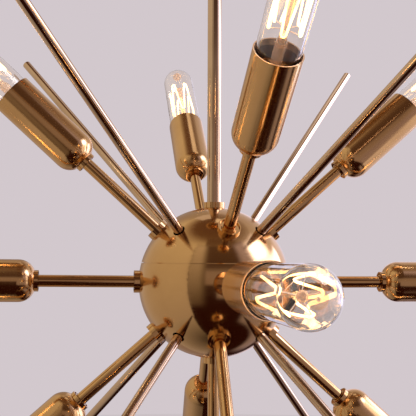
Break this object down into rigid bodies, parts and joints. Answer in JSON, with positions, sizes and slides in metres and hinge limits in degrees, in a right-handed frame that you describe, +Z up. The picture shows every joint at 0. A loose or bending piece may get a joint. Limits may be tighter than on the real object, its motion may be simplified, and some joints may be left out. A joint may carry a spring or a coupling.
{
  "type": "pendant light",
  "caption": "Starburst pendant light: a round ball on a stem, with lamp arms and plain rods all round it. Its swivel turns and tilts, and its tubular lamps unscrew.",
  "frame": {"origin": "the ceiling plane on the stem's axis, at the middle of the ceiling bracket's top face", "axes": "+Z up, -Y the front, which faced the camera, and +X to the right"},
  "size_m": [0.6626, 0.6626, 0.8113],
  "materials": {
    "canopy": "satin",
    "stem": "satin",
    "ball": "brushed",
    "arms": "satin",
    "rods": "polished",
    "cups": "polished",
    "lampholder": "moulded",
    "zinc_steel": "zinc plated",
    "wire_insulation": "matt",
    "lamp_base": "rolled",
    "lamp_glass": "clear",
    "filament": "glowing wire on thin hooks"
  },
  "bodies": {
    "ceiling_mount": {"ceiling_bracket": "zinc_steel", "nipple": "zinc_steel", "canopy": "canopy", "canopy_nut": "canopy"},
    "swivel": {"swivel_yoke": "canopy", "swivel_pins": "zinc_steel"},
    "fixture": {"swivel_tongue": "canopy", "stem": "stem", "stem_collar": "stem", "upper_shell": "ball", "lower_shell": "ball", "centre_rod": "zinc_steel", "inner_nuts": "zinc_steel", "rod_hub": "zinc_steel", "plain_rods": "rods", "lamp_arms": "arms", "arm_collars": "arms", "cup_rings": "arms", "cups": "cups", "lampholders": "lampholder", "wiring": "wire_insulation"},
    "lamp_upper_front": {"lamp_base_upper_front": "lamp_base", "lamp_glass_upper_front": "lamp_glass", "filament_upper_front": "filament"},
    "lamp_upper_right": {"lamp_base_upper_right": "lamp_base", "lamp_glass_upper_right": "lamp_glass", "filament_upper_right": "filament"},
    "lamp_upper_back": {"lamp_base_upper_back": "lamp_base", "lamp_glass_upper_back": "lamp_glass", "filament_upper_back": "filament"},
    "lamp_upper_left": {"lamp_base_upper_left": "lamp_base", "lamp_glass_upper_left": "lamp_glass", "filament_upper_left": "filament"},
    "lamp_side_front": {"lamp_base_side_front": "lamp_base", "lamp_glass_side_front": "lamp_glass", "filament_side_front": "filament"},
    "lamp_side_right": {"lamp_base_side_right": "lamp_base", "lamp_glass_side_right": "lamp_glass", "filament_side_right": "filament"},
    "lamp_side_back": {"lamp_base_side_back": "lamp_base", "lamp_glass_side_back": "lamp_glass", "filament_side_back": "filament"},
    "lamp_side_left": {"lamp_base_side_left": "lamp_base", "lamp_glass_side_left": "lamp_glass", "filament_side_left": "filament"},
    "lamp_lower_front": {"lamp_base_lower_front": "lamp_base", "lamp_glass_lower_front": "lamp_glass", "filament_lower_front": "filament"},
    "lamp_lower_right": {"lamp_base_lower_right": "lamp_base", "lamp_glass_lower_right": "lamp_glass", "filament_lower_right": "filament"},
    "lamp_lower_back": {"lamp_base_lower_back": "lamp_base", "lamp_glass_lower_back": "lamp_glass", "filament_lower_back": "filament"},
    "lamp_lower_left": {"lamp_base_lower_left": "lamp_base", "lamp_glass_lower_left": "lamp_glass", "filament_lower_left": "filament"},
    "lamp_bottom": {"lamp_base_bottom": "lamp_base", "lamp_glass_bottom": "lamp_glass", "filament_bottom": "filament"}
  },
  "joints": [
    {"name": "swivel_turn", "type": "hinge", "parent": "ceiling_mount", "child": "swivel", "pos_m": [0, 0, -0.0393], "axis": [0, 0, 1], "range_deg": [-170, 170]},
    {"name": "swivel_tilt", "type": "hinge", "parent": "swivel", "child": "fixture", "pos_m": [0, 0, -0.0553], "axis": [1, 0, 0], "range_deg": [-45, 45]},
    {"name": "unscrew_upper_front", "type": "hinge", "parent": "fixture", "child": "lamp_upper_front", "pos_m": [0.01559, -0.14837, -0.34233], "axis": [0.0768, -0.7309, 0.6782], "range_deg": [0, 1260]},
    {"name": "unscrew_upper_right", "type": "hinge", "parent": "fixture", "child": "lamp_upper_right", "pos_m": [0.15204, 0, -0.34549], "axis": [0.749, 0, 0.6626], "range_deg": [0, 1260]},
    {"name": "unscrew_upper_back", "type": "hinge", "parent": "fixture", "child": "lamp_upper_back", "pos_m": [-0.00515, 0.14741, -0.34052], "axis": [-0.0254, 0.7261, 0.6871], "range_deg": [0, 1260]},
    {"name": "unscrew_upper_left", "type": "hinge", "parent": "fixture", "child": "lamp_upper_left", "pos_m": [-0.14943, 0, -0.34259], "axis": [-0.7361, 0, 0.6769], "range_deg": [0, 1260]},
    {"name": "unscrew_side_front", "type": "hinge", "parent": "fixture", "child": "lamp_side_front", "pos_m": [-0.00106, -0.20298, -0.47717], "axis": [-0.0052, -0.9999, 0.014], "range_deg": [0, 1260]},
    {"name": "unscrew_side_right", "type": "hinge", "parent": "fixture", "child": "lamp_side_right", "pos_m": [0.203, 0, -0.48], "axis": [1, 0, 0], "range_deg": [0, 1260]},
    {"name": "unscrew_side_back", "type": "hinge", "parent": "fixture", "child": "lamp_side_back", "pos_m": [0, 0.203, -0.48], "axis": [0, 1, 0], "range_deg": [0, 1260]},
    {"name": "unscrew_side_left", "type": "hinge", "parent": "fixture", "child": "lamp_side_left", "pos_m": [-0.20299, 0, -0.47823], "axis": [-1, 0, 0.0087], "range_deg": [0, 1260]},
    {"name": "unscrew_lower_front", "type": "hinge", "parent": "fixture", "child": "lamp_lower_front", "pos_m": [-0.00802, -0.153, -0.61318], "axis": [-0.0395, -0.7537, -0.6561], "range_deg": [0, 1260]},
    {"name": "unscrew_lower_right", "type": "hinge", "parent": "fixture", "child": "lamp_lower_right", "pos_m": [0.15086, 0, -0.61583], "axis": [0.7431, 0, -0.6691], "range_deg": [0, 1260]},
    {"name": "unscrew_lower_back", "type": "hinge", "parent": "fixture", "child": "lamp_lower_back", "pos_m": [0.00772, 0.14729, -0.61948], "axis": [0.038, 0.7256, -0.6871], "range_deg": [0, 1260]},
    {"name": "unscrew_lower_left", "type": "hinge", "parent": "fixture", "child": "lamp_lower_left", "pos_m": [-0.15321, 0, -0.61318], "axis": [-0.7547, 0, -0.6561], "range_deg": [0, 1260]},
    {"name": "unscrew_bottom", "type": "hinge", "parent": "fixture", "child": "lamp_bottom", "pos_m": [0, 0, -0.683], "axis": [0, 0, -1], "range_deg": [0, 1260]}
  ]
}
